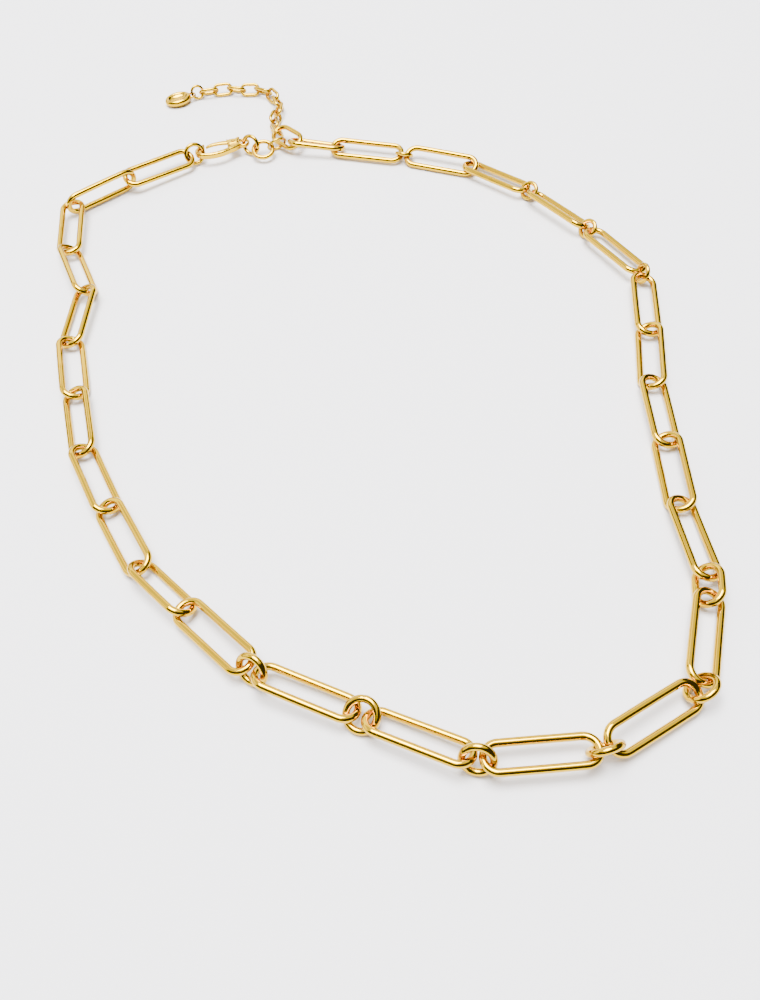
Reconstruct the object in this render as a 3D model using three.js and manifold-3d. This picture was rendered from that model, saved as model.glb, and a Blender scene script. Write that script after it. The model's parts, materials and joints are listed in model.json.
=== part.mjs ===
// A gold paperclip chain necklace, fastened and laid flat in a loop, with a short extender chain.
// Millimetres, +Z up, +Y towards the clasp. The lay starts at the front link and runs both ways.
import * as THREE from "three";
import { mergeVertices } from "three/addons/utils/BufferGeometryUtils.js";
import Module from "manifold-3d";

const wasm = await Module();
wasm.setup();

// ---- Driving dimensions ----
const WIRE = 1.18; // wire of the links
const LINK_WIDTH = 5.68; // outside width of a long link
const LINK_LENGTH = 17.73; // outside length of a long link
const SHORT_LINK_LENGTH = 14.83; // the one shorter link, at the left of the front
const OVAL_LENGTH = 8.33; // oval link at the right of the front
const OVAL_WIDTH = 5.53;
const LAST_LINK_LENGTH = 13.73; // the link beside the connector
const CONNECTOR_LENGTH = 9.0; // oval link that carries the extender
const CONNECTOR_WIDTH = 5.4;
const CONNECTOR_WIRE = 1.05;
const RING_DIAMETER = 6; // round rings between the front links
const RING_WIRE = 1.1;
const SMALL_RING_DIAMETER = 4.4; // round rings between the back links
const SMALL_RING_WIRE = 0.85;
const CLAW_RING_DIAMETER = 5.3; // the ring that the claw holds
const CLAW_RING_WIRE = 0.85;
const EYE_RING_DIAMETER = 5.0; // the ring in the clasp's eye
const EYE_RING_WIRE = 0.8;
const MIDDLE_RING_DIAMETER = 5.6; // the ring between the clasp and the connector
const MIDDLE_RING_WIRE = 0.9;
const THIN_RING_DIAMETER = 5.0; // the ring on the connector's side
const THIN_RING_WIRE = 0.6;
const EXTENDER_LENGTH = 5.2;
const EXTENDER_WIDTH = 3.3;
const EXTENDER_WIRE = 0.72;
const TAG_RING_DIAMETER = 3.6;
const TAG_RING_WIRE = 0.6;
const TAG_LENGTH = 6.6;
const TAG_WIDTH = 5.1;
const TAG_THICK = 1.5;
const CLASP_THICK = 1.5;

// Reach: the distance from the middle of a joint to the centre of the round end of a link.
const LEFT_REACH = 1.26; // links hooked straight into each other, left of the front
const RIGHT_REACH = 1.0; // the same on the right, where the chain lies slacker
const RING_REACH = 2.92; // a link in a round ring
const SMALL_RING_REACH = 2.84; // a link in a small ring
const EXTENDER_REACH = 0.8;

const WIRE_SIDES = 8;
const THIN_SIDES = 6;
const degrees = THREE.MathUtils.degToRad;

// ---- Materials ----
const gold = new THREE.MeshStandardMaterial({ color: 0xe0b04a, roughness: 0.15, metalness: 1 });
const goldDark = new THREE.MeshStandardMaterial({ color: 0xc79a3c, roughness: 0.3, metalness: 1 });

// ---- Shapes ----

// A closed wire loop in the XY plane, long in X: two half circles joined by straights. A round
// ring is a loop as long as it is wide.
function wireLoop({ length, width, wire, arcSteps = 6, sides = WIRE_SIDES }) {
  const endRadius = (width - wire) / 2;
  const halfStraight = (length - width) / 2;
  const stations = [];
  for (const end of [1, -1]) {
    const first = halfStraight > 0 || end === 1 ? 0 : 1;
    const last = halfStraight > 0 || end === 1 ? arcSteps : arcSteps - 1;
    for (let step = first; step <= last; step += 1) {
      const angle = Math.PI * (step / arcSteps - 0.5) + (end === 1 ? 0 : Math.PI);
      stations.push({ x: end * halfStraight, angle });
    }
  }
  const positions = [];
  for (const { x, angle } of stations) {
    for (let side = 0; side < sides; side += 1) {
      const turn = (2 * Math.PI * (side + 0.5)) / sides;
      const out = endRadius + (wire / 2) * Math.cos(turn);
      positions.push(x + out * Math.cos(angle), out * Math.sin(angle), (wire / 2) * Math.sin(turn));
    }
  }
  const faces = [];
  for (let station = 0; station < stations.length; station += 1) {
    const here = station * sides;
    const there = ((station + 1) % stations.length) * sides;
    for (let side = 0; side < sides; side += 1) {
      const next = (side + 1) % sides;
      faces.push(here + side, there + side, there + next);
      faces.push(here + side, there + next, here + next);
    }
  }
  const loop = new THREE.BufferGeometry();
  loop.setAttribute("position", new THREE.Float32BufferAttribute(positions, 3));
  loop.setIndex(faces);
  loop.computeVertexNormals();
  return loop;
}

// A flat plate of the outline, centred on z = 0.
function plate(outline, thickness, curveSegments = 6) {
  const options = { depth: thickness, bevelEnabled: false, curveSegments };
  return new THREE.ExtrudeGeometry(outline, options).translate(0, 0, -thickness / 2);
}

// An upright round post at x, y, centred on z = 0.
function post(x, y, radius, length, sides = 12) {
  const cylinder = new THREE.CylinderGeometry(radius, radius, length, sides);
  return cylinder.rotateX(Math.PI / 2).translate(x, y, 0);
}

function toSolid(geometry) {
  const bare = geometry.clone().deleteAttribute("normal").deleteAttribute("uv");
  const merged = mergeVertices(bare, 1e-4);
  return new wasm.Manifold(
    new wasm.Mesh({
      numProp: 3,
      vertProperties: merged.attributes.position.array,
      triVerts: new Uint32Array(merged.index.array),
    }),
  );
}

function toGeometry(solid) {
  const mesh = solid.getMesh();
  const geometry = new THREE.BufferGeometry();
  geometry.setAttribute("position", new THREE.BufferAttribute(mesh.vertProperties, 3));
  geometry.setIndex(new THREE.BufferAttribute(mesh.triVerts, 1));
  geometry.computeVertexNormals();
  return geometry;
}

// ---- The clasp: a lobster claw, claw towards -X, eye towards +X, lever on the +Y side ----
const CLAW = { x: -1.7, y: 0, length: 9.6, width: 5.4 };
const CLAW_OPENING = { x: -1.85, y: -0.05, length: 7.5, width: 3.2 };
const HOOK_X = -6.05; // the middle of the hook's wall
const EYE_X = 5.1;
const EYE_RADIUS = 1.5;
const EYE_HOLE = 0.98;
const EYE_THICK = 1.0;
const PIVOT = { x: 2.9, y: 0.75 };
const RIVET_RADIUS = 0.35;
const RUNNING_GAP = 0.04;
const LEVER_THICK = 0.7;
const SLOT_THICK = 0.9;

function ellipse({ x, y, length, width }) {
  const shape = new THREE.Shape();
  shape.absellipse(x, y, length / 2, width / 2, 0, 2 * Math.PI, false);
  return shape;
}

function outlineOf(points) {
  const shape = new THREE.Shape();
  points.forEach(([x, y], index) => (index === 0 ? shape.moveTo(x, y) : shape.lineTo(x, y)));
  shape.closePath();
  return shape;
}

// The neck: the stretch from the claw to the eye, with the lever's pocket in it.
function neckOutline() {
  const neck = new THREE.Shape();
  neck.moveTo(1.6, -2.0);
  neck.quadraticCurveTo(3.2, -1.7, 4.2, -1.1);
  neck.lineTo(EYE_X, -0.8);
  neck.lineTo(EYE_X, 0.8);
  neck.lineTo(4.2, 1.15);
  neck.quadraticCurveTo(3.4, 1.75, 2.2, 1.7);
  neck.lineTo(1.2, 1.7);
  neck.lineTo(1.2, -2.0);
  neck.closePath();
  return neck;
}

function claspBodyShape() {
  const cut = CLASP_THICK * 2;
  const claw = toSolid(plate(ellipse(CLAW), CLASP_THICK, 10));
  const neck = toSolid(plate(neckOutline(), CLASP_THICK));
  const eye = toSolid(post(EYE_X, 0, EYE_RADIUS, EYE_THICK, 16));
  const opening = toSolid(plate(ellipse(CLAW_OPENING), cut, 8));
  // The gate is the stretch of the claw that the lever closes.
  const gate = toSolid(plate(outlineOf([[-4.0, 0.9], [1.5, 0.4], [1.5, 3.2], [-3.4, 3.2]]), cut));
  const pocket = [[0.8, -0.2], [3.7, -0.2], [4.1, 0.4], [4.1, 3.2], [0.8, 3.2]];
  const slot = toSolid(plate(outlineOf(pocket), SLOT_THICK));
  const eyeHole = toSolid(post(EYE_X, 0, EYE_HOLE, cut, 16));
  const rivetHole = toSolid(post(PIVOT.x, PIVOT.y, RIVET_RADIUS + RUNNING_GAP, cut));
  const whole = claw.add(neck).add(eye).subtract(opening).subtract(gate);
  return toGeometry(whole.subtract(slot).subtract(eyeHole).subtract(rivetHole));
}

// The lever: a curved arm from the pivot to the hook's tip, and a thumb tab over the neck.
function leverShape() {
  const lever = new THREE.Shape();
  lever.moveTo(3.5, 0.7);
  lever.quadraticCurveTo(3.2, 0.1, 2.6, 0.15);
  lever.quadraticCurveTo(1.9, 0.35, 1.5, 1.05);
  lever.quadraticCurveTo(-1.4, 2.05, -3.62, 1.3);
  lever.lineTo(-3.42, 1.95);
  lever.quadraticCurveTo(-1.4, 3.05, 1.9, 2.1);
  lever.quadraticCurveTo(2.9, 1.75, 3.6, 2.3);
  lever.lineTo(4.6, 2.8);
  lever.lineTo(4.85, 2.35);
  lever.quadraticCurveTo(4.1, 1.3, 3.5, 0.7);
  const body = toSolid(plate(lever, LEVER_THICK));
  const hole = toSolid(post(PIVOT.x, PIVOT.y, RIVET_RADIUS + RUNNING_GAP, CLASP_THICK));
  return toGeometry(body.subtract(hole));
}

// The spring: a bent strip in the pocket, between its floor and the lever.
function springShape() {
  const strip = [
    [1.3, -0.15],
    [2.5, -0.15],
    [2.5, -0.08],
    [1.5, -0.05],
    [2.0, 0.02],
    [1.95, 0.1],
    [1.3, 0.0],
  ];
  return plate(outlineOf(strip), LEVER_THICK * 0.8, 1);
}

// ---- The tag: an oval medallion with a raised rim, and a lug with a hole at its +X end ----
const TAG_LUG_X = TAG_LENGTH / 2 + 0.15;
const TAG_LUG_RADIUS = 1.15;
const TAG_HOLE = 0.75;
const TAG_RECESS = 0.35;

function tagShape() {
  const outline = ellipse({ x: 0, y: 0, length: TAG_LENGTH, width: TAG_WIDTH });
  const hollow = ellipse({ x: -0.2, y: 0, length: TAG_LENGTH - 2.2, width: TAG_WIDTH - 2.2 });
  const disc = toSolid(plate(outline, TAG_THICK, 10));
  const lug = toSolid(post(TAG_LUG_X, 0, TAG_LUG_RADIUS, TAG_THICK * 0.4, 14));
  const recess = toSolid(plate(hollow, 2 * TAG_RECESS, 8).translate(0, 0, TAG_THICK / 2));
  const hole = toSolid(post(TAG_LUG_X + 0.1, 0, TAG_HOLE, TAG_THICK * 2, 14));
  return toGeometry(disc.add(lug).subtract(recess).subtract(hole));
}

// ---- The lay ----
const longLink = { length: LINK_LENGTH, width: LINK_WIDTH, wire: WIRE };
const shortLink = { ...longLink, length: SHORT_LINK_LENGTH };
const lastLink = { ...longLink, length: LAST_LINK_LENGTH };
const ovalLink = { length: OVAL_LENGTH, width: OVAL_WIDTH, wire: WIRE };
const ring = { length: RING_DIAMETER, width: RING_DIAMETER, wire: RING_WIRE };
const smallRing = {
  length: SMALL_RING_DIAMETER,
  width: SMALL_RING_DIAMETER,
  wire: SMALL_RING_WIRE,
};

// Every link from the clasp down the left, round the front and up the right, with the way it
// points (degrees from +X) and how it is rolled (positive lifts its side towards the loop's
// middle). "ring" is the round ring between a link and the one before it.
const links = [
  { name: "link_01", loop: longLink, heading: -148, roll: -19 },
  { name: "link_02", loop: longLink, heading: -143, roll: 82 },
  { name: "link_03", loop: longLink, heading: -86, roll: 6 },
  { name: "link_04", loop: longLink, heading: -68, roll: -37 },
  { name: "link_05", loop: longLink, heading: -95, roll: 22 },
  { name: "link_06", loop: longLink, heading: -78, roll: -22 },
  { name: "link_07", loop: longLink, heading: -77, roll: 24 },
  { name: "link_08", loop: longLink, heading: -65, roll: -23 },
  { name: "link_09", loop: longLink, heading: -62, roll: 22 },
  { name: "link_10", loop: shortLink, heading: -47, roll: -33 },
  { name: "link_11", loop: longLink, heading: -47, roll: 10 },
  { name: "link_12", loop: longLink, heading: -26, roll: -18, ring: "round_ring_1", ringRoll: 67 },
  { name: "link_13", loop: longLink, heading: -27, roll: -18, ring: "round_ring_2", ringRoll: 33 },
  { name: "link_14", loop: longLink, heading: 2, roll: 0, ring: "round_ring_3", ringRoll: 65 },
  { name: "link_15", loop: longLink, heading: 29, roll: 26, ring: "round_ring_4", ringRoll: -61 },
  { name: "link_16", loop: longLink, heading: 72, roll: 20, ring: "round_ring_5", ringRoll: -40 },
  { name: "oval_link", loop: ovalLink, heading: 79, roll: -35 },
  { name: "link_17", loop: longLink, heading: 94, roll: 18 },
  { name: "link_18", loop: longLink, heading: 87, roll: -22 },
  { name: "link_19", loop: longLink, heading: 88, roll: 18 },
  { name: "link_20", loop: longLink, heading: 81, roll: -25 },
  { name: "link_21", loop: longLink, heading: 83, roll: 16 },
  { name: "link_22", loop: longLink, heading: 118, roll: 13, smallRing: "small_ring_1", ringRoll: -68 },
  { name: "link_23", loop: longLink, heading: 126, roll: 30, smallRing: "small_ring_2", ringRoll: -45 },
  { name: "link_24", loop: longLink, heading: 138, roll: 13, smallRing: "small_ring_3", ringRoll: -45 },
  { name: "link_25", loop: longLink, heading: 158, roll: -24 },
  { name: "link_26", loop: longLink, heading: 164, roll: -16, smallRing: "small_ring_4", ringRoll: 37 },
  { name: "link_27", loop: lastLink, heading: 169, roll: 24 },
];
const CLASP_HEIGHT = 2.35; // the clasp hangs in upright rings, clear of the table
const CONNECTOR_HEIGHT = 2.3; // the connector lies over the thin ring
const FRONT = links.findIndex(({ name }) => name === "link_14");

const endRadiusOf = (loop) => (loop.width - loop.wire) / 2;
const halfStraightOf = (loop) => (loop.length - loop.width) / 2;

// The height of a rolled loop's middle when its lower side rests on the table.
function restingHeight(loop, roll) {
  return loop.wire / 2 + endRadiusOf(loop) * Math.abs(Math.sin(degrees(roll)));
}

// A joint sits as high as the highest piece in it needs.
function jointHeight(index) {
  const before = links[index - 1];
  const after = links[index];
  const heights = [restingHeight(before.loop, before.roll), restingHeight(after.loop, after.roll)];
  if (after.ring) heights.push(restingHeight(ring, after.ringRoll));
  if (after.smallRing) heights.push(restingHeight(smallRing, after.ringRoll));
  return Math.max(...heights);
}

function reachAt(index) {
  if (links[index].ring) return RING_REACH;
  if (links[index].smallRing) return SMALL_RING_REACH;
  return index < FRONT ? LEFT_REACH : RIGHT_REACH;
}

const necklace = new THREE.Group();

// Adds one piece, turned by roll about its length, then pitch, then heading, and notes its joint:
// the piece it hangs on, a point and an axis, and how far it turns in degrees.
function addPiece(name, geometry, place, material = gold, joint = null) {
  const mesh = new THREE.Mesh(geometry, material);
  mesh.name = name;
  mesh.position.copy(place.at);
  mesh.rotation.set(degrees(place.roll), degrees(place.pitch ?? 0), degrees(place.heading), "ZYX");
  mesh.userData.joint = joint;
  necklace.add(mesh);
  return mesh;
}

// Where a loop lies when it runs from one joint towards another: its middle and its far joint.
// climb is the height gained between the joints, and way is 1 along the chain or -1 against it.
function layLoop({ loop, heading, roll }, from, nearReach, farReach, climb, way = 1) {
  const span = 2 * halfStraightOf(loop) + nearReach + farReach;
  const pitch = Math.asin(climb / span);
  const flat = Math.cos(pitch);
  const angle = degrees(heading);
  const along = new THREE.Vector3(Math.cos(angle) * flat, Math.sin(angle) * flat, 0);
  along.multiplyScalar(way).setZ(Math.sin(pitch));
  const at = from.clone().addScaledVector(along, halfStraightOf(loop) + nearReach);
  const to = from.clone().addScaledVector(along, span);
  return { at, to, heading, roll, pitch: -way * THREE.MathUtils.radToDeg(pitch) };
}

const joints = []; // joints[i] is the middle of the joint between links i - 1 and i
const places = [];

// The front link first, then the links on each side of it.
const lastIndex = links.length - 1;
const heightAt = (index) => {
  if (index === 0) return CLASP_HEIGHT;
  if (index > lastIndex) return CONNECTOR_HEIGHT;
  return jointHeight(index);
};
const reachBefore = (index) => (index > 0 ? reachAt(index) : LEFT_REACH);
const reachAfter = (index) => (index < lastIndex ? reachAt(index + 1) : RIGHT_REACH);
joints[FRONT] = new THREE.Vector3(0, 0, heightAt(FRONT));
for (let index = FRONT; index <= lastIndex; index += 1) {
  const climb = heightAt(index + 1) - heightAt(index);
  const laid = layLoop(links[index], joints[index], reachBefore(index), reachAfter(index), climb);
  places[index] = laid;
  joints[index + 1] = laid.to;
}
for (let index = FRONT - 1; index >= 0; index -= 1) {
  const climb = heightAt(index) - heightAt(index + 1);
  const near = reachAfter(index);
  const laid = layLoop(links[index], joints[index + 1], near, reachBefore(index), climb, -1);
  places[index] = laid;
  joints[index] = laid.to;
}

// ---- Rings and directions at the clasp end ----
const ALONG_X = new THREE.Vector3(1, 0, 0);
const UP = new THREE.Vector3(0, 0, 1);
const direction = (heading) => ALONG_X.clone().applyAxisAngle(UP, degrees(heading));
const beside = (point, heading, distance, height = point.z) =>
  point.clone().addScaledVector(direction(heading), distance).setZ(height);
const roundRing = (diameter, wire, sides = THIN_SIDES) =>
  wireLoop({ length: diameter, width: diameter, wire, sides });

const CLAW_RING_HEADING = 25;
const clawRing = {
  at: beside(joints[0], links[0].heading + 180, 1.9, CLASP_HEIGHT + 0.17),
  heading: CLAW_RING_HEADING,
  roll: 70,
};

// ---- Motion ----
// Every piece hangs on the next one towards the front link. Far from the clasp a joint swings
// flat and outwards, which carries the claw clear of its ring. Near the clasp a joint twists
// about the line from the joint to the ring in the claw, the way that opens the two pieces.
const NEAR_CLASP = 60; // mm from the ring in the claw
const CLEAR_ARC = 2063; // mm times degrees: the swing that carries the claw clear, by distance
const LEAST_SWING = 15; // degrees
const MOST_SWING = 24;
const TWIST = 9;

const sideOf = (index) => (index < FRONT ? 1 : -1);

// The joint at a point between links index and parentIndex, which carries the piece on parent.
function linkJoint(parent, at, index, parentIndex) {
  const toRing = clawRing.at.clone().sub(at);
  if (toRing.length() > NEAR_CLASP) {
    const clear = Math.round(CLEAR_ARC / toRing.length());
    const most = THREE.MathUtils.clamp(clear, LEAST_SWING, MOST_SWING);
    return { parent, at, axis: UP, range: sideOf(index) > 0 ? [0, most] : [-most, 0] };
  }
  const opens = -sideOf(index) * Math.sign(links[index].roll - links[parentIndex].roll);
  return { parent, at, axis: toRing.normalize(), range: opens > 0 ? [0, TWIST] : [-TWIST, 0] };
}

for (let index = 0; index <= lastIndex; index += 1) {
  const link = links[index];
  const parentIndex = index - Math.sign(index - FRONT);
  const at = joints[index < FRONT ? index + 1 : index];
  const isFront = index === FRONT;
  const joint = isFront ? null : linkJoint(links[parentIndex].name, at, index, parentIndex);
  addPiece(link.name, wireLoop(link.loop), places[index], gold, joint);
  if (link.ring || link.smallRing) {
    // The ring before a link turns half as far as the link beyond it, seen from the front.
    const [inner, outer] = index > FRONT ? [index - 1, index] : [index, index - 1];
    const heading = (links[index - 1].heading + link.heading) / 2;
    const place = { at: joints[index], heading, roll: link.ringRoll };
    const shape = link.ring ? { ...ring, sides: WIRE_SIDES } : { ...smallRing, sides: THIN_SIDES };
    const swing = linkJoint(links[inner].name, joints[index], outer, inner);
    const follower = { ...swing, follows: links[outer].name, ratio: 0.5 };
    addPiece(link.ring ?? link.smallRing, wireLoop(shape), place, gold, follower);
  }
}

// ---- The clasp end, placed piece by piece from the first link and from the last ----
function twist(parent, at, opens) {
  const axis = clawRing.at.clone().sub(at).normalize();
  return { parent, at, axis, range: opens > 0 ? [0, TWIST] : [-TWIST, 0] };
}

const clawRingAxis = direction(CLAW_RING_HEADING);
const clawRingJoint = { parent: "link_01", at: joints[0], axis: clawRingAxis, range: [0, TWIST] };
addPiece("claw_ring", roundRing(CLAW_RING_DIAMETER, CLAW_RING_WIRE), clawRing, gold, clawRingJoint);

const CLASP_HEADING = 18;
const HOOK_TO_RING = 0.55; // from the middle of the hook's wall back to the middle of its ring
const clasp = {
  at: beside(clawRing.at, CLASP_HEADING, HOOK_TO_RING - HOOK_X, CLASP_HEIGHT),
  heading: CLASP_HEADING,
  roll: 0,
};
const eye = beside(clasp.at, CLASP_HEADING, EYE_X);
const EYE_RING_HEADING = -32;
const eyeRing = {
  at: beside(eye, EYE_RING_HEADING, (EYE_RING_DIAMETER - EYE_RING_WIRE) / 2, CLASP_HEIGHT + 0.1),
  heading: EYE_RING_HEADING,
  roll: 75,
};
const middleRing = { at: beside(eyeRing.at, -26, 3.2, 1.95), heading: 0, roll: 18 };
const thinRing = { at: beside(middleRing.at, 29, 3.63, 2.05), heading: 25, roll: -60 };
const between = (one, other) => one.clone().lerp(other, 0.5);

const claspJoint = twist("eye_ring", eye, 1);
const leverPivot = beside(beside(clasp.at, CLASP_HEADING, PIVOT.x), CLASP_HEADING + 90, PIVOT.y);
const leverOpens = [0, 12];
const leverJoint = { parent: "clasp_body", at: leverPivot, axis: UP, range: leverOpens, sprung: true };
addPiece("clasp_body", claspBodyShape(), clasp, gold, claspJoint);
addPiece("clasp_lever", leverShape(), clasp, gold, leverJoint);
const rivet = post(PIVOT.x, PIVOT.y, RIVET_RADIUS, CLASP_THICK + 0.1);
addPiece("clasp_rivet", rivet, clasp, goldDark, { fixedTo: "clasp_body" });
addPiece("clasp_spring", springShape(), clasp, goldDark, { fixedTo: "clasp_body" });

const connectorLoop = { length: CONNECTOR_LENGTH, width: CONNECTOR_WIDTH, wire: CONNECTOR_WIRE };
const connectorLink = { loop: connectorLoop, heading: 133, roll: -22 };
const end = joints[lastIndex + 1];
const connector = layLoop(connectorLink, end, RIGHT_REACH, RIGHT_REACH, 0);
const connectorJoint = twist(links[lastIndex].name, end, -1);
addPiece("connector", wireLoop(connectorLoop), connector, gold, connectorJoint);

const thinRingJoint = twist("connector", between(connector.at, thinRing.at), 1);
addPiece("thin_ring", roundRing(THIN_RING_DIAMETER, THIN_RING_WIRE), thinRing, gold, thinRingJoint);
const middleRingJoint = twist("thin_ring", between(thinRing.at, middleRing.at), 1);
const middleRingLoop = roundRing(MIDDLE_RING_DIAMETER, MIDDLE_RING_WIRE);
addPiece("middle_ring", middleRingLoop, middleRing, gold, middleRingJoint);
const eyeRingJoint = twist("middle_ring", between(middleRing.at, eyeRing.at), 1);
addPiece("eye_ring", roundRing(EYE_RING_DIAMETER, EYE_RING_WIRE), eyeRing, gold, eyeRingJoint);

// ---- The extender: small links in a curl, a ring and a tag ----
const EXTENDER_SWING = 15;
const EXTENDER_ROLL = 48; // neighbouring links lean opposite ways
const FIRST_EXTENDER_REACH = 0.45; // the first link sits close in the connector's end
const FIRST_EXTENDER_HEIGHT = 2.05;
const extenderLoop = {
  length: EXTENDER_LENGTH,
  width: EXTENDER_WIDTH,
  wire: EXTENDER_WIRE,
  arcSteps: 4,
  sides: THIN_SIDES,
};
const extenderHeadings = [108, 100, 75, 84, 105, 120, 150, 178, 165, 185, 190];
let extenderParent = "connector";
let extenderJoint = connector.to;
extenderHeadings.forEach((heading, index) => {
  const name = `extender_${String(index + 1).padStart(2, "0")}`;
  const roll = index % 2 === 0 ? EXTENDER_ROLL : -EXTENDER_ROLL;
  const near = index === 0 ? FIRST_EXTENDER_REACH : EXTENDER_REACH;
  const height = index === 0 ? FIRST_EXTENDER_HEIGHT : restingHeight(extenderLoop, roll);
  const climb = height - extenderJoint.z;
  const piece = { loop: extenderLoop, heading, roll };
  const laid = layLoop(piece, extenderJoint, near, EXTENDER_REACH, climb);
  // Neighbouring links swing opposite ways, so that the extender folds and doesn't curl up.
  const axis = index % 2 === 0 ? UP : UP.clone().negate();
  const joint = { parent: extenderParent, at: extenderJoint, axis, range: [0, EXTENDER_SWING] };
  addPiece(name, wireLoop(extenderLoop), laid, gold, joint);
  extenderParent = name;
  extenderJoint = laid.to;
});
const TAG_HEADING = 199; // from the extender's end towards the tag
const tagRing = {
  at: beside(extenderJoint, TAG_HEADING, 1.1, 1.65),
  heading: TAG_HEADING,
  roll: -65,
};
const tag = {
  at: beside(tagRing.at, TAG_HEADING, TAG_LUG_X + 1.6, 1.0),
  heading: TAG_HEADING - 180,
  pitch: -6,
  roll: 0,
};
const tagSwing = [0, EXTENDER_SWING];
const tagRingJoint = { parent: extenderParent, at: extenderJoint, axis: UP, range: tagSwing };
addPiece("tag_ring", roundRing(TAG_RING_DIAMETER, TAG_RING_WIRE), tagRing, gold, tagRingJoint);
const tagPivot = beside(tagRing.at, TAG_HEADING, (TAG_RING_DIAMETER - TAG_RING_WIRE) / 2);
const tagJoint = { parent: "tag_ring", at: tagPivot, axis: UP.clone().negate(), range: tagSwing };
addPiece("tag", tagShape(), tag, gold, tagJoint);

// The origin: the middle of the box, at the bottom.
const box = new THREE.Box3().setFromObject(necklace);
const middle = box.getCenter(new THREE.Vector3());
necklace.position.set(-middle.x, -middle.y, -box.min.z);

export default necklace;
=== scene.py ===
"""Looks of a gold paperclip chain necklace, laid flat in a loop with its clasp closed.

Every link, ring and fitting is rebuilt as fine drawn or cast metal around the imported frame: the
script reads each CAD piece's place, length and wire from its mesh and sweeps a smooth wire there.
"""

import json
import math

import bmesh
import bpy
import numpy as np
from mathutils import Euler, Matrix, Vector
from mathutils.kdtree import KDTree


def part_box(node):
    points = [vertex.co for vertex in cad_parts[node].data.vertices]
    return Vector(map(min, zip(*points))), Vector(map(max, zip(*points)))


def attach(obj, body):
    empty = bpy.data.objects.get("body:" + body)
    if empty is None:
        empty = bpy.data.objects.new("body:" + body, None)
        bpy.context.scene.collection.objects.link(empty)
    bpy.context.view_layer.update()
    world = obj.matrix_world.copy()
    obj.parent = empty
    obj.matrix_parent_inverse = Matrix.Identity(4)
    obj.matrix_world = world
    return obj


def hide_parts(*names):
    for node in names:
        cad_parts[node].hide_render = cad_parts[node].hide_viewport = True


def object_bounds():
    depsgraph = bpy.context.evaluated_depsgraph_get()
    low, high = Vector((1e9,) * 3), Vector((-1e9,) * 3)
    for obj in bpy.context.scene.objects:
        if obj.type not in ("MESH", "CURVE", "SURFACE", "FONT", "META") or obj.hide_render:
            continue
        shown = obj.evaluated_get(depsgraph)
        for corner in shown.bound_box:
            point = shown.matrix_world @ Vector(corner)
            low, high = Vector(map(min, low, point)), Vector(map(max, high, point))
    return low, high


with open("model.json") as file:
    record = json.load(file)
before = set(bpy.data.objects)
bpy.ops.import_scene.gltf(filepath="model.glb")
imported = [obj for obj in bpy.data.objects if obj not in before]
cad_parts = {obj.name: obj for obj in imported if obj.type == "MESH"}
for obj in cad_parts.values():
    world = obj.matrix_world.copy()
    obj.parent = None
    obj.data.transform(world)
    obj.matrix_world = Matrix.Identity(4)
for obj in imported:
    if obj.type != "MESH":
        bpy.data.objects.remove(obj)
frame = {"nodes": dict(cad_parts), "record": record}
CAD_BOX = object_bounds()

bl_info = {
    "name": "Paperclip Chain Necklace",
    "version": (1, 0, 0),
    "blender": (4, 5, 0),
    "location": "View3D > Sidebar > Necklace",
    "description": "Builds the wire links, clasp, extender and tag of a gold chain necklace",
    "category": "Add Mesh",
}

MM = 0.001

# Which CAD pieces belong to which group. The names are the frame's own.
NODES = sorted(frame["nodes"])
LONG_LINKS = [name for name in NODES if name.startswith("link_")] + ["oval_link", "connector"]
ROUND_RINGS = [name for name in NODES if name.startswith(("round_ring", "small_ring"))]
CLASP_RINGS = ["claw_ring", "eye_ring", "middle_ring", "thin_ring", "tag_ring"]
EXTENDER_LINKS = [name for name in NODES if name.startswith("extender_")]

# The frame's wires are polygons: eight sides on the links and round rings, six on the small rings
# and the extender. The share of the wire's diameter that each shows through the loop.
EIGHT_SIDED = math.cos(math.pi / 8)
SIX_SIDED = 1.0
ROUND_WIRE_SHARE = 1.07  # drawn wire against the frame's: 7% thicker, so neighbours cut a little

RING_STEPS = 72
EXTENDER_BEND_STEPS = 18
STRAIGHT_STEP = 0.6 * MM  # length of one step along a straight side
LEAST_STRAIGHT_STEPS = 4
UPRIGHT_THINNING = 0.3  # share of a bend's thinning that the wire's height takes
# Where a wire's ends were joined: half width in path steps, and height as a share of the wire.
LINK_SEAM = (0.9, 0.012)
RING_SEAM = (0.8, -0.03)
RING_SEAM_PLACE = 5  # the seam is one part in this many round the ring


# ---- Settings ----


class NecklaceMetalSettings(bpy.types.PropertyGroup):
    """Colours and finish of the metal."""

    gold: bpy.props.FloatVectorProperty(
        name="Gold",
        description="Colour of the polished gold plating",
        subtype="COLOR",
        size=3,
        min=0.0,
        max=1.0,
        default=(0.60, 0.355, 0.004),
    )
    pale_gold: bpy.props.FloatVectorProperty(
        name="Pale gold",
        description="Colour where the plating is brightest",
        subtype="COLOR",
        size=3,
        min=0.0,
        max=1.0,
        default=(0.68, 0.42, 0.010),
    )
    polish: bpy.props.FloatProperty(
        name="Polish roughness",
        description="Roughness of the polished wire",
        min=0.0,
        max=1.0,
        default=0.07,
    )


class NecklaceWireSettings(bpy.types.PropertyGroup):
    """How finely the wire is drawn and how hand-made it looks."""

    wire_sides: bpy.props.IntProperty(
        name="Wire sides",
        description="Facets around the wire",
        min=8,
        max=48,
        default=20,
    )
    bend_steps: bpy.props.IntProperty(
        name="Bend steps",
        description="Steps round each half-circle bend",
        min=8,
        max=96,
        default=28,
    )
    bend_flattening: bpy.props.FloatProperty(
        name="Bend flattening",
        description="How much thinner the wire is at the middle of a bend",
        min=0.0,
        max=0.2,
        default=0.035,
    )
    waver: bpy.props.FloatProperty(
        name="Waver",
        description="How far a straight side strays from straight",
        unit="LENGTH",
        min=0.0,
        max=0.0005,
        default=0.00003,
    )


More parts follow.
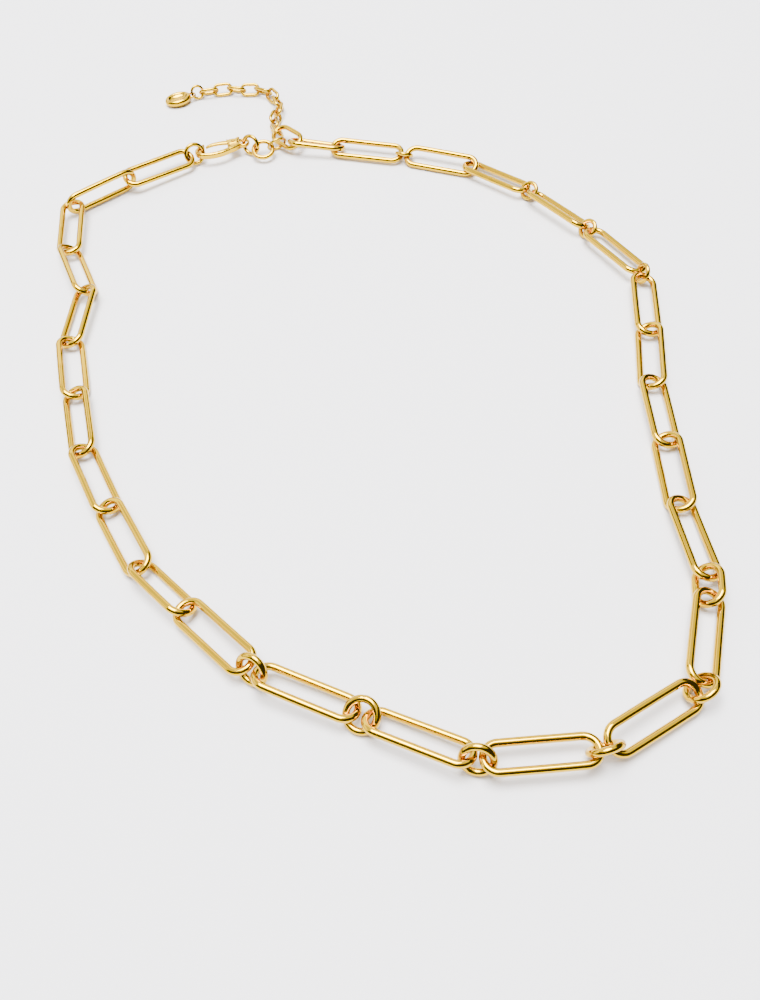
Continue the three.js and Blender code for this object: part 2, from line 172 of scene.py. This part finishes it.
class NecklaceTagSettings(bpy.types.PropertyGroup):
    """Sizes of the oval tag and its lug."""

    length: bpy.props.FloatProperty(
        name="Tag length",
        description="Length of the oval medallion without its lug",
        unit="LENGTH",
        default=0.0066,
    )
    width: bpy.props.FloatProperty(
        name="Tag width",
        description="Width of the oval medallion",
        unit="LENGTH",
        default=0.0051,
    )
    lug_radius: bpy.props.FloatProperty(
        name="Lug radius",
        description="Radius of the lug's ring, to the middle of its wire",
        unit="LENGTH",
        default=0.00093,
    )
    lug_wire: bpy.props.FloatProperty(
        name="Lug wire",
        description="Thickness of the lug's ring",
        unit="LENGTH",
        default=0.0004,
    )


class NecklaceStageSettings(bpy.types.PropertyGroup):
    """The floor, the camera and the light."""

    floor_colour: bpy.props.FloatVectorProperty(
        name="Floor colour",
        description="Colour of the pale floor",
        subtype="COLOR",
        size=3,
        min=0.0,
        max=1.0,
        default=(0.86, 0.85, 0.875),
    )
    lens: bpy.props.FloatProperty(
        name="Lens",
        description="Focal length of the camera",
        unit="CAMERA",
        min=10.0,
        max=200.0,
        default=35.98,
    )
    camera_tilt: bpy.props.FloatProperty(
        name="Camera tilt",
        description="How far the camera looks down from level",
        subtype="ANGLE",
        default=math.radians(52.24),
    )
    camera_roll: bpy.props.FloatProperty(
        name="Camera roll",
        description="How far the camera leans to one side",
        subtype="ANGLE",
        default=math.radians(-3.2),
    )
    camera_height: bpy.props.FloatProperty(
        name="Camera height",
        description="Height of the camera over the floor",
        unit="LENGTH",
        default=0.1352,
    )
    camera_back: bpy.props.FloatProperty(
        name="Camera distance",
        description="How far in front of the loop's middle the camera stands",
        unit="LENGTH",
        default=0.1454,
    )
    camera_side: bpy.props.FloatProperty(
        name="Camera offset",
        description="How far to the right of the loop's middle the camera stands",
        unit="LENGTH",
        default=0.0044,
    )


# ---- Shader groups ----


def group_with(name, inputs, outputs):
    """A new shader group with its sockets, and its input and output nodes."""
    tree = bpy.data.node_groups.new(name, "ShaderNodeTree")
    for label, kind, default in inputs:
        socket = tree.interface.new_socket(label, in_out="INPUT", socket_type=kind)
        socket.default_value = default
    for label, kind in outputs:
        tree.interface.new_socket(label, in_out="OUTPUT", socket_type=kind)
    entry = tree.nodes.new("NodeGroupInput")
    leave = tree.nodes.new("NodeGroupOutput")
    return tree, entry, leave


def noise(tree, scale, detail=3.0, roughness=0.5):
    """Noise over the piece's own coordinates."""
    place = tree.nodes.new("ShaderNodeTexCoord")
    texture = tree.nodes.new("ShaderNodeTexNoise")
    texture.inputs["Scale"].default_value = scale
    texture.inputs["Detail"].default_value = detail
    texture.inputs["Roughness"].default_value = roughness
    tree.links.new(place.outputs["Object"], texture.inputs["Vector"])
    return texture


def mapped(tree, value, low, high, to_low, to_high):
    """Value between low and high turned into a number between to_low and to_high."""
    ramp = tree.nodes.new("ShaderNodeMapRange")
    ramp.inputs["From Min"].default_value = low
    ramp.inputs["From Max"].default_value = high
    ramp.inputs["To Min"].default_value = to_low
    ramp.inputs["To Max"].default_value = to_high
    tree.links.new(value, ramp.inputs["Value"])
    return ramp.outputs["Result"]


def math_node(tree, operation, first, second):
    """Arithmetic on two sockets or numbers."""
    node = tree.nodes.new("ShaderNodeMath")
    node.operation = operation
    for socket, value in zip(node.inputs, (first, second)):
        if isinstance(value, (int, float)):
            socket.default_value = value
        else:
            tree.links.new(value, socket)
    return node.outputs[0]


def plating_tone_group():
    """Slow drift of the plating's colour between two golds."""
    tree, entry, leave = group_with(
        "Plating Tone",
        [
            ("Gold", "NodeSocketColor", (0.98, 0.70, 0.27, 1.0)),
            ("Pale Gold", "NodeSocketColor", (1.0, 0.80, 0.42, 1.0)),
            ("Drift", "NodeSocketFloat", 0.5),
        ],
        [("Colour", "NodeSocketColor")],
    )
    drift = noise(tree, 140.0, 2.0)
    patch = mapped(tree, drift.outputs["Fac"], 0.35, 0.65, 0.0, 1.0)
    share = math_node(tree, "MULTIPLY", patch, entry.outputs["Drift"])
    mix = tree.nodes.new("ShaderNodeMix")
    mix.data_type = "RGBA"
    tree.links.new(share, mix.inputs["Factor"])
    tree.links.new(entry.outputs["Gold"], mix.inputs["A"])
    tree.links.new(entry.outputs["Pale Gold"], mix.inputs["B"])
    tree.links.new(mix.outputs["Result"], leave.inputs["Colour"])
    return tree


def polishing_group():
    """Faint marks of the polishing wheel: roughness and height over the surface."""
    tree, entry, leave = group_with(
        "Polishing Marks",
        [
            ("Roughness", "NodeSocketFloat", 0.07),
            ("Spread", "NodeSocketFloat", 0.06),
            ("Grain", "NodeSocketFloat", 0.5),
        ],
        [("Roughness", "NodeSocketFloat"), ("Height", "NodeSocketFloat")],
    )
    smear = noise(tree, 900.0, 4.0, 0.6)
    haze = mapped(tree, smear.outputs["Fac"], 0.3, 0.75, 0.0, 1.0)
    spread = math_node(tree, "MULTIPLY", haze, entry.outputs["Spread"])
    rough = math_node(tree, "ADD", entry.outputs["Roughness"], spread)
    fine = noise(tree, 6500.0, 2.0, 0.7)
    broad = noise(tree, 420.0, 1.0, 0.4)
    grain = math_node(tree, "MULTIPLY", fine.outputs["Fac"], entry.outputs["Grain"])
    height = math_node(tree, "ADD", grain, broad.outputs["Fac"])
    tree.links.new(rough, leave.inputs["Roughness"])
    tree.links.new(height, leave.inputs["Height"])
    return tree


# ---- Materials ----

POLISHING_DEPTH = 0.02 * MM

# Each finish: its name, roughness over the polish, spread of the roughness, grain, drift between
# the two golds, bump strength, and share of the golds' brightness.
FINISHES = (
    ("Drawn Link Gold", 0.0, 0.05, 0.4, 0.5, 0.25, 1.0),
    ("Jump Ring Gold", 0.01, 0.06, 0.5, 0.4, 0.3, 1.0),
    ("Fine Chain Gold", 0.04, 0.08, 0.6, 0.6, 0.35, 1.0),
    ("Cast Clasp Gold", 0.03, 0.08, 1.0, 0.5, 0.6, 1.0),
    ("Tag Gold", 0.03, 0.08, 0.9, 0.4, 0.5, 1.0),
    ("Rivet Gold", 0.15, 0.10, 1.2, 0.2, 0.6, 0.85),
    ("Spring Gold", 0.20, 0.12, 1.4, 0.1, 0.7, 0.75),
)


def metal(name, settings, roughness, spread, grain, drift, bump, tone_share):
    """Gold with its tone and its polishing marks."""
    material = bpy.data.materials.new(name)
    material.use_nodes = True
    tree = material.node_tree
    shader = tree.nodes["Principled BSDF"]
    shader.inputs["Metallic"].default_value = 1.0
    tone = tree.nodes.new("ShaderNodeGroup")
    tone.node_tree = bpy.data.node_groups["Plating Tone"]
    tone.inputs["Gold"].default_value = (*[channel * tone_share for channel in settings.gold], 1.0)
    pale = (*[channel * tone_share for channel in settings.pale_gold], 1.0)
    tone.inputs["Pale Gold"].default_value = pale
    tone.inputs["Drift"].default_value = drift
    marks = tree.nodes.new("ShaderNodeGroup")
    marks.node_tree = bpy.data.node_groups["Polishing Marks"]
    marks.inputs["Roughness"].default_value = roughness
    marks.inputs["Spread"].default_value = spread
    marks.inputs["Grain"].default_value = grain
    relief = tree.nodes.new("ShaderNodeBump")
    relief.inputs["Strength"].default_value = bump
    relief.inputs["Distance"].default_value = POLISHING_DEPTH
    tree.links.new(tone.outputs["Colour"], shader.inputs["Base Color"])
    tree.links.new(marks.outputs["Roughness"], shader.inputs["Roughness"])
    tree.links.new(marks.outputs["Height"], relief.inputs["Height"])
    tree.links.new(relief.outputs["Normal"], shader.inputs["Normal"])
    return material


def make_materials(settings):
    """The necklace's finishes, from the brightest wire to the spring in the clasp."""
    plating_tone_group()
    polishing_group()
    for name, rougher, spread, grain, drift, bump, share in FINISHES:
        metal(name, settings, settings.polish + rougher, spread, grain, drift, bump, share)


# ---- Reading the frame ----


def corners_of(node):
    """The CAD piece's vertices as an array."""
    mesh = frame["nodes"][node].data
    points = np.zeros(len(mesh.vertices) * 3)
    mesh.vertices.foreach_get("co", points)
    return np.unique(points.reshape(-1, 3).round(8), axis=0)


def loop_frame(node):
    """The middle, the axes and the sizes of a wire loop: along it, across it and through it."""
    points = corners_of(node)
    middle = points.mean(axis=0)
    _, _, axes = np.linalg.svd(points - middle, full_matrices=False)
    along, across = axes[0], axes[1]
    if along[1] < 0:
        along = -along
    through = np.cross(along, across)
    if through[2] < 0:
        across, through = -across, -through
    turned = (points - middle) @ np.array([along, across, through]).T
    size = turned.max(axis=0) - turned.min(axis=0)
    matrix = Matrix(np.array([along, across, through]).T.tolist()).to_4x4()
    matrix.translation = Vector(middle.tolist())
    return matrix, size


# ---- Wire ----


def loop_path(half_straight, radius, bend_steps, straight_steps):
    """Centre-line points of a loop with their outward directions and how bent each one is."""
    path = []
    for end in (1, -1):
        base = 0.0 if end == 1 else math.pi
        for step in range(bend_steps + 1):
            share = step / bend_steps
            angle = base + math.pi * (share - 0.5)
            point = (end * half_straight + radius * math.cos(angle), radius * math.sin(angle))
            path.append((point, (math.cos(angle), math.sin(angle)), math.sin(math.pi * share)))
        side = end
        for step in range(1, straight_steps):
            share = step / straight_steps
            x = end * half_straight * (1 - 2 * share)
            path.append(((x, side * radius), (0.0, float(side)), 0.0))
    return path


def ring_path(radius, steps):
    """Centre-line points of a round ring."""
    path = []
    for step in range(steps):
        angle = 2 * math.pi * step / steps
        out = (math.cos(angle), math.sin(angle))
        path.append(((radius * out[0], radius * out[1]), out, 1.0))
    return path


def sweep(name, path, wire, sides, matrix, thin_at_bends=0.0, waver=0.0, seed=0, seam=None):
    """A wire of round section along a closed path, placed by the matrix.

    The wire is a little thinner at each bend, its straight sides stray a little, and seam swells or
    sinks it where its ends were joined, as (path index, half width in steps, height).
    """
    random = np.random.default_rng(seed)
    phase = random.uniform(0, 2 * math.pi, 3)
    vertices = []
    for index, (point, out, bend) in enumerate(path):
        turn = 2 * math.pi * index / len(path)
        stray = waver * (1 - bend) * math.sin(2 * turn + phase[0])
        lift = waver * (1 - bend) * math.sin(2 * turn + phase[1])
        radius_out = wire / 2 * (1 - thin_at_bends * bend)
        radius_up = wire / 2 * (1 - UPRIGHT_THINNING * thin_at_bends * bend)
        if seam is not None:
            at, half_width, height = seam
            away = min(abs(index - at), len(path) - abs(index - at)) / half_width
            swell = height * math.exp(-away * away)
            radius_out += swell
            radius_up += swell
        for side in range(sides):
            angle = 2 * math.pi * (side + 0.5) / sides
            reach = stray + radius_out * math.cos(angle)
            x = point[0] + out[0] * reach
            y = point[1] + out[1] * reach
            vertices.append(matrix @ Vector((x, y, lift + radius_up * math.sin(angle))))
    faces = []
    count = len(path)
    for index in range(count):
        here, there = index * sides, (index + 1) % count * sides
        for side in range(sides):
            beside = (side + 1) % sides
            faces.append((here + side, there + side, there + beside, here + beside))
    mesh = bpy.data.meshes.new(name)
    mesh.from_pydata(vertices, [], faces)
    mesh.polygons.foreach_set("use_smooth", [True] * len(mesh.polygons))
    mesh.update()
    return bpy.data.objects.new(name, mesh)


def body_holding(node):
    """The body that carries a CAD node."""
    for body, members in frame["record"]["behaviour"]["bodies"].items():
        if node in members:
            return body
    raise RuntimeError(f"no body carries {node}")


def place(piece, node, material, slot="polished_gold"):
    """Links a piece to the scene, gives it its finish and lets it stand for its CAD node."""
    bpy.context.scene.collection.objects.link(piece)
    piece.data.materials.append(bpy.data.materials[material])
    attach(piece, body_holding(node))
    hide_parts(node)


def fine_name(node):
    """The name of the fine piece that stands for a CAD node."""
    return f"fine_{node}"


def round_wire(size, polygon):
    """The diameter of the round wire that stands for a polygonal one, from the loop's sizes."""
    return size[2] / polygon * ROUND_WIRE_SHARE


def build_wire_loop(node, wire_settings, material, polygon, bend_steps):
    """A fine long link in place of a CAD one."""
    matrix, size = loop_frame(node)
    wire = round_wire(size, polygon)
    half_length = (size[0] - wire) / 2
    radius = (size[1] - wire) / 2
    half_straight = half_length - radius
    straight_steps = max(LEAST_STRAIGHT_STEPS, round(half_straight * 2 / STRAIGHT_STEP))
    path = loop_path(half_straight, radius, bend_steps, straight_steps)
    seed = sum(ord(letter) * (index + 1) for index, letter in enumerate(node))
    seam_at = bend_steps + straight_steps // 2
    seam_width, seam_height = LINK_SEAM
    piece = sweep(
        fine_name(node),
        path,
        wire,
        wire_settings.wire_sides,
        matrix,
        wire_settings.bend_flattening,
        wire_settings.waver,
        seed,
        (seam_at, seam_width, seam_height * wire),
    )
    place(piece, node, material)


def build_round_ring(node, wire_settings, material, polygon):
    """A fine round ring in place of a CAD one."""
    matrix, size = loop_frame(node)
    wire = round_wire(size, polygon)
    radius = (min(size[0], size[1]) - wire) / 2
    path = ring_path(radius, RING_STEPS)
    seam_width, seam_height = RING_SEAM
    seam = (RING_STEPS // RING_SEAM_PLACE, seam_width, seam_height * wire)
    piece = sweep(fine_name(node), path, wire, wire_settings.wire_sides, matrix, seam=seam)
    place(piece, node, material)


# ---- Operators ----


class NECKLACE_OT_links(bpy.types.Operator):
    """Build the long links, the oval link and the connector"""

    bl_idname = "necklace.links"
    bl_label = "Long Links"

    def execute(self, context):
        wire_settings = context.scene.necklace_wire
        for node in LONG_LINKS:
            build_wire_loop(
                node,
                wire_settings,
                "Drawn Link Gold",
                EIGHT_SIDED,
                wire_settings.bend_steps,
            )
        return {"FINISHED"}


class NECKLACE_OT_rings(bpy.types.Operator):
    """Build the round rings between the links and round the clasp"""

    bl_idname = "necklace.rings"
    bl_label = "Rings"

    def execute(self, context):
        wire_settings = context.scene.necklace_wire
        for node in ROUND_RINGS + CLASP_RINGS:
            large = node.startswith("round_ring")
            polygon = EIGHT_SIDED if large else SIX_SIDED
            build_round_ring(node, wire_settings, "Jump Ring Gold", polygon)
        return {"FINISHED"}


class NECKLACE_OT_extender(bpy.types.Operator):
    """Build the small links of the extender"""

    bl_idname = "necklace.extender"
    bl_label = "Extender"

    def execute(self, context):
        wire_settings = context.scene.necklace_wire
        for node in EXTENDER_LINKS:
            build_wire_loop(
                node,
                wire_settings,
                "Fine Chain Gold",
                SIX_SIDED,
                EXTENDER_BEND_STEPS,
            )
        return {"FINISHED"}


def even_skin(piece, voxel, rounds):
    """Wraps a piece in one even skin and rounds what edges are left."""
    collection = bpy.context.scene.collection
    collection.objects.link(piece)
    remesh = piece.modifiers.new("Even skin", "REMESH")
    remesh.mode = "VOXEL"
    remesh.voxel_size = voxel
    smooth = piece.modifiers.new("Rounded edges", "SMOOTH")
    smooth.factor = 0.5
    smooth.iterations = rounds
    depsgraph = bpy.context.evaluated_depsgraph_get()
    mesh = bpy.data.meshes.new_from_object(piece.evaluated_get(depsgraph))
    piece.modifiers.clear()
    piece.data = mesh
    mesh.polygons.foreach_set("use_smooth", [True] * len(mesh.polygons))
    collection.objects.unlink(piece)
    return piece


WALL_SLANT = 0.3  # a casting's wall is where its normal rises less than this
WALL_SHARE = 0.5  # and that lies within this share of its half thickness
FIRST_SMOOTHING = 2  # rounds of smoothing before the walls are crowned
TAG_SMOOTHING = 2
TAG_VOXEL = 0.05 * MM
TAG_STEPS = 64
LUG_STEPS = 32
LUG_SIDES = 12
LUG_HEIGHT_SHARE = 1.3  # the lug's ring is this much taller than it is thick


def crowned(piece, edge_reach, edge_share):
    """Thins a flat casting towards its outline, so that its walls turn from slabs into ovals.

    edge_share is the thickness left at the outline, and edge_reach how far in the full one starts.
    """
    mesh = piece.data
    count = len(mesh.vertices)
    points = np.zeros(count * 3)
    normals = np.zeros(count * 3)
    mesh.vertices.foreach_get("co", points)
    mesh.vertices.foreach_get("normal", normals)
    points = points.reshape(-1, 3)
    normals = normals.reshape(-1, 3)
    middle = (points[:, 2].min() + points[:, 2].max()) / 2
    half = (points[:, 2].max() - points[:, 2].min()) / 2
    height = points[:, 2] - middle
    upright = np.abs(normals[:, 2]) < WALL_SLANT
    walls = points[upright & (np.abs(height) < half * WALL_SHARE)]
    tree = KDTree(len(walls))
    for index, wall in enumerate(walls):
        tree.insert((wall[0], wall[1], 0.0), index)
    tree.balance()
    for index in range(count):
        away = tree.find((points[index, 0], points[index, 1], 0.0))[2]
        inward = min(away / edge_reach, 1.0)
        swell = math.sqrt(1 - (1 - inward) ** 2)
        points[index, 2] = middle + height[index] * (edge_share + (1 - edge_share) * swell)
    mesh.vertices.foreach_set("co", points.ravel())
    mesh.update()


def cast_piece(node, voxel, edge_reach, edge_share, rounds):
    """A CAD casting with crowned walls and polished edges."""
    piece = bpy.data.objects.new(fine_name(node), frame["nodes"][node].data.copy())
    piece.data.materials.clear()
    even_skin(piece, voxel, FIRST_SMOOTHING)
    crowned(piece, edge_reach, edge_share)
    return even_skin(piece, voxel, rounds)


# Each casting: its node, its skin's voxel, how far in its full thickness starts, the share of the
# thickness left at its outline, and its rounds of smoothing.
CASTINGS = (
    ("clasp_body", 0.06 * MM, 0.55 * MM, 0.42, 5),
    ("clasp_lever", 0.05 * MM, 0.32 * MM, 0.45, 3),
)


class NECKLACE_OT_clasp(bpy.types.Operator):
    """Build the lobster clasp's cast body and lever, and give its rivet and spring their finishes
    """

    bl_idname = "necklace.clasp"
    bl_label = "Clasp"

    def execute(self, context):
        for node, voxel, edge_reach, edge_share, rounds in CASTINGS:
            casting = cast_piece(node, voxel, edge_reach, edge_share, rounds)
            place(casting, node, "Cast Clasp Gold")
        for node, material in (("clasp_rivet", "Rivet Gold"), ("clasp_spring", "Spring Gold")):
            carried = frame["nodes"][node]
            carried.data.materials.clear()
            carried.data.materials.append(bpy.data.materials[material])
        return {"FINISHED"}


# The tag's section from its middle outwards: how far in from the outline, and how high, in mm.
TAG_SECTION = (
    (2.34, 0.02),
    (2.1, 0.03),
    (1.8, 0.08),
    (1.5, 0.19),
    (1.25, 0.36),
    (1.08, 0.54),
    (0.92, 0.67),
    (0.74, 0.72),
    (0.55, 0.71),
    (0.36, 0.63),
    (0.2, 0.49),
    (0.08, 0.28),
    (0.02, 0.05),
    (0.04, -0.2),
    (0.12, -0.42),
    (0.28, -0.6),
    (0.5, -0.7),
    (0.8, -0.73),
    (1.4, -0.74),
    (2.34, -0.74),
)


def tag_frame():
    """Where the tag lies: its middle, its long axis towards the lug, and its upper face."""
    points = corners_of("tag")
    middle = points.mean(axis=0)
    _, _, axes = np.linalg.svd(points - middle, full_matrices=False)
    along, across = axes[0], axes[1]
    lug = Vector(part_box("tag_ring")[0]).lerp(Vector(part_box("tag_ring")[1]), 0.5)
    if along @ (np.array(lug) - middle) < 0:
        along = -along
    through = np.cross(along, across)
    if through[2] < 0:
        across, through = -across, -through
    turn = np.array([along, across, through])
    turned = (points - middle) @ turn.T
    low, high = turned.min(axis=0), turned.max(axis=0)
    return turn, middle, low, high


def build_tag():
    """The oval tag: a dished medallion with a round rim, and the lug that its ring runs through."""
    settings = bpy.context.scene.necklace_tag
    turn, middle, low, high = tag_frame()
    half_length, half_width = settings.length / 2, settings.width / 2
    centre = np.array([low[0] + half_length, (low[1] + high[1]) / 2, (low[2] + high[2]) / 2])
    build = bmesh.new()
    steps = TAG_STEPS
    rings = []
    for inset, height in TAG_SECTION:
        ring = []
        for step in range(steps):
            angle = 2 * math.pi * step / steps
            x = max(half_length - inset * MM, 0.0) * math.cos(angle)
            y = max(half_width - inset * MM, 0.0) * math.sin(angle)
            ring.append(build.verts.new((x, y, height * MM)))
        rings.append(ring)
    for inner, outer in zip(rings, rings[1:]):
        for step in range(steps):
            after = (step + 1) % steps
            build.faces.new((inner[step], outer[step], outer[after], inner[after]))
    build.faces.new(rings[0])
    build.faces.new(reversed(rings[-1]))
    lug = ring_path(settings.lug_radius, LUG_STEPS)
    sides = LUG_SIDES
    lug_x = high[0] - centre[0] - settings.lug_radius - settings.lug_wire / 2
    loops = []
    for point, out, _ in lug:
        loop = []
        for side in range(sides):
            angle = 2 * math.pi * side / sides
            reach = settings.lug_wire / 2 * math.cos(angle)
            x = lug_x + point[0] + out[0] * reach
            y = point[1] + out[1] * reach
            z = settings.lug_wire / 2 * LUG_HEIGHT_SHARE * math.sin(angle)
            loop.append(build.verts.new((x, y, z)))
        loops.append(loop)
    for index, loop in enumerate(loops):
        after = loops[(index + 1) % len(loops)]
        for side in range(sides):
            beside = (side + 1) % sides
            build.faces.new((loop[side], after[side], after[beside], loop[beside]))
    bmesh.ops.recalc_face_normals(build, faces=build.faces[:])
    mesh = bpy.data.meshes.new(fine_name("tag"))
    build.to_mesh(mesh)
    build.free()
    placed = Matrix(turn.T.tolist()).to_4x4()
    placed.translation = Vector((middle + centre @ turn).tolist())
    mesh.transform(placed)
    piece = bpy.data.objects.new(fine_name("tag"), mesh)
    return even_skin(piece, TAG_VOXEL, TAG_SMOOTHING)


class NECKLACE_OT_tag(bpy.types.Operator):
    """Build the oval tag at the extender's end"""

    bl_idname = "necklace.tag"
    bl_label = "Tag"

    def execute(self, context):
        place(build_tag(), "tag", "Tag Gold")
        return {"FINISHED"}


FLOOR_HALF = 1.1  # half the floor's side, in metres
BACKDROP_STRENGTH = 3.0
ROOM_STRENGTH = 0.07
# Each light: its name, its size, its power in watts, and where it hangs.
LIGHTS = (
    ("key softbox", (0.60, 0.55), 34.0, (-0.08, 0.05, 0.90)),
    ("overhead scrim", (2.0, 2.1), 24.0, (-0.15, 0.2, 1.0)),
    ("back wall", (2.0, 0.8), 13.0, (-0.3, 1.2, 0.60)),
    ("left window", (1.0, 0.7), 6.0, (-1.2, 0.1, 0.5)),
)


def area_light(name, size, power, place_at, aim_at):
    """A soft rectangular light that faces a point."""
    data = bpy.data.lights.new(name, "AREA")
    data.shape = "RECTANGLE"
    data.size, data.size_y = size
    data.energy = power
    light = bpy.data.objects.new(name, data)
    light.location = place_at
    light.rotation_euler = (Vector(aim_at) - Vector(place_at)).to_track_quat("-Z", "Y").to_euler()
    bpy.context.scene.collection.objects.link(light)


class NECKLACE_OT_stage(bpy.types.Operator):
    """Set the pale floor, the soft light and the camera"""

    bl_idname = "necklace.stage"
    bl_label = "Stage"

    def execute(self, context):
        stage = context.scene.necklace_stage
        self.floor(stage)
        self.light()
        self.camera(context, stage)
        return {"FINISHED"}

    def floor(self, stage):
        half = FLOOR_HALF
        low = CAD_BOX[0].z
        mesh = bpy.data.meshes.new("floor")
        corners = [(-half, -half, low), (half, -half, low), (half, half, low), (-half, half, low)]
        mesh.from_pydata(corners, [], [(0, 1, 2, 3)])
        floor = bpy.data.objects.new("floor", mesh)
        bpy.context.scene.collection.objects.link(floor)
        material = bpy.data.materials.new("Pale Floor")
        material.use_nodes = True
        shader = material.node_tree.nodes["Principled BSDF"]
        shader.inputs["Base Color"].default_value = (*stage.floor_colour, 1.0)
        shader.inputs["Roughness"].default_value = 0.6
        shader.inputs["Specular IOR Level"].default_value = 0.2
        mesh.materials.append(material)

    def light(self):
        world = bpy.data.worlds.new("Studio")
        bpy.context.scene.world = world
        world.use_nodes = True
        tree = world.node_tree
        backdrop = tree.nodes["Background"]
        backdrop.inputs["Color"].default_value = (0.98, 0.98, 1.0, 1.0)
        backdrop.inputs["Strength"].default_value = BACKDROP_STRENGTH
        # The backdrop is pale behind the table, and the room that the metal mirrors is dim.
        room = tree.nodes.new("ShaderNodeBackground")
        room.inputs["Color"].default_value = (0.95, 0.97, 1.0, 1.0)
        room.inputs["Strength"].default_value = ROOM_STRENGTH
        rays = tree.nodes.new("ShaderNodeLightPath")
        mix = tree.nodes.new("ShaderNodeMixShader")
        tree.links.new(rays.outputs["Is Camera Ray"], mix.inputs["Fac"])
        tree.links.new(room.outputs["Background"], mix.inputs[1])
        tree.links.new(backdrop.outputs["Background"], mix.inputs[2])
        tree.links.new(mix.outputs["Shader"], tree.nodes["World Output"].inputs["Surface"])
        middle = (0.0, 0.0, 0.0)
        for name, size, power, place_at in LIGHTS:
            area_light(name, size, power, place_at, middle)

    def camera(self, context, stage):
        data = bpy.data.cameras.new("camera")
        data.lens = stage.lens
        data.sensor_fit = "AUTO"
        data.sensor_width = 36.0
        data.clip_start = 0.01
        data.clip_end = 20.0
        camera = bpy.data.objects.new("camera", data)
        camera.location = (stage.camera_side, -stage.camera_back, stage.camera_height)
        tilt = Euler((math.pi / 2 - stage.camera_tilt, 0, 0)).to_matrix().to_4x4()
        roll = Matrix.Rotation(stage.camera_roll, 4, "Z")
        camera.rotation_euler = (tilt @ roll).to_euler()
        context.scene.collection.objects.link(camera)
        context.scene.camera = camera


class NECKLACE_PT_sidebar(bpy.types.Panel):
    """The necklace's settings and its building steps"""

    bl_label = "Chain Necklace"
    bl_idname = "NECKLACE_PT_sidebar"
    bl_space_type = "VIEW_3D"
    bl_region_type = "UI"
    bl_category = "Necklace"

    def draw(self, context):
        layout = self.layout
        for settings, _ in SETTINGS:
            group = getattr(context.scene, settings)
            box = layout.box()
            for name in group.bl_rna.properties.keys():
                if name not in ("rna_type", "name"):
                    box.prop(group, name)
        for operator in PIECE_OPERATORS:
            layout.operator(operator.bl_idname)


PIECE_OPERATORS = (
    NECKLACE_OT_stage,
    NECKLACE_OT_links,
    NECKLACE_OT_rings,
    NECKLACE_OT_clasp,
    NECKLACE_OT_extender,
    NECKLACE_OT_tag,
)
SETTINGS = (
    ("necklace_metal", NecklaceMetalSettings),
    ("necklace_wire", NecklaceWireSettings),
    ("necklace_tag", NecklaceTagSettings),
    ("necklace_stage", NecklaceStageSettings),
)


def register():
    for name, settings in SETTINGS:
        bpy.utils.register_class(settings)
        setattr(bpy.types.Scene, name, bpy.props.PointerProperty(type=settings))
    for operator in PIECE_OPERATORS:
        bpy.utils.register_class(operator)
    bpy.utils.register_class(NECKLACE_PT_sidebar)


def unregister():
    bpy.utils.unregister_class(NECKLACE_PT_sidebar)
    for operator in reversed(PIECE_OPERATORS):
        bpy.utils.unregister_class(operator)
    for name, settings in reversed(SETTINGS):
        delattr(bpy.types.Scene, name)
        bpy.utils.unregister_class(settings)


def main():
    register()
    make_materials(bpy.context.scene.necklace_metal)
    bpy.ops.necklace.stage()
    bpy.ops.necklace.links()
    bpy.ops.necklace.rings()
    bpy.ops.necklace.clasp()
    bpy.ops.necklace.extender()
    bpy.ops.necklace.tag()
    bpy.context.view_layer.update()


if __name__ == "__main__":
    main()
